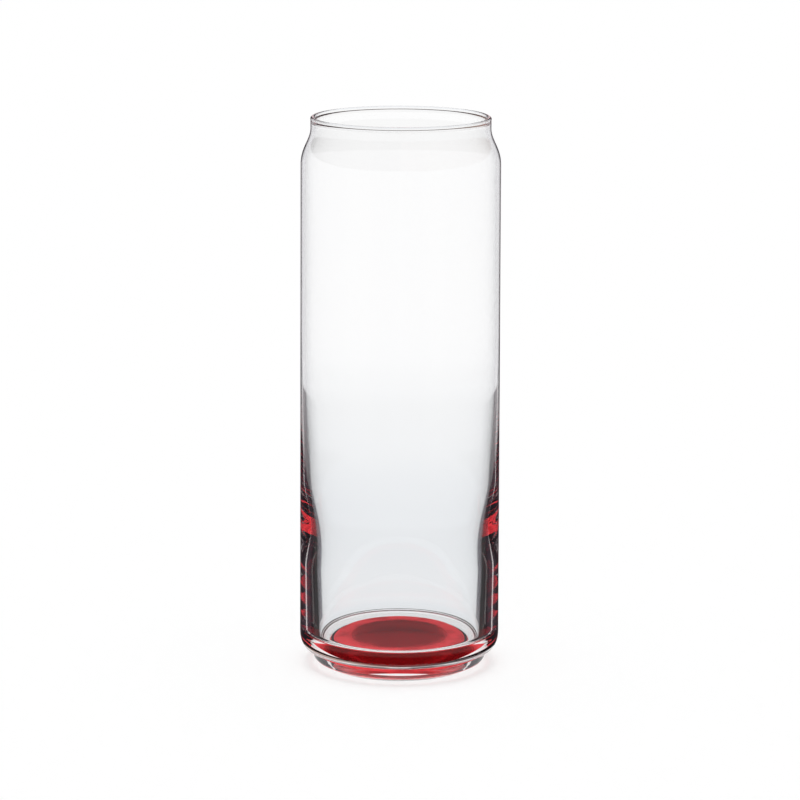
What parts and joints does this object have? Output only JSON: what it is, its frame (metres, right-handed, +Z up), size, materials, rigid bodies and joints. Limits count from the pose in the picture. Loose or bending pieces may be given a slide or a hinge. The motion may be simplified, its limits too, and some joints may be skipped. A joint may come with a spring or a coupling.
{
  "type": "can shaped drinking glass",
  "caption": "Tall slim clear drinking glass shaped like a drinks can, with a necked-in rim, a rounded heel on a foot ring, a thick base and a red coat under it.",
  "frame": {"origin": "centre of the foot ring, on the plane that it stands on", "axes": "+Z up along the glass's axis of revolution, -Y towards the viewer of the picture, +X to the right"},
  "size_m": [0.0596, 0.0594, 0.1643],
  "materials": {
    "clear_glass": "clear, fire polished",
    "red_coat": "red lacquer film"
  },
  "bodies": {
    "root": {"glass": "clear_glass", "base_coat": "red_coat"}
  },
  "joints": []
}
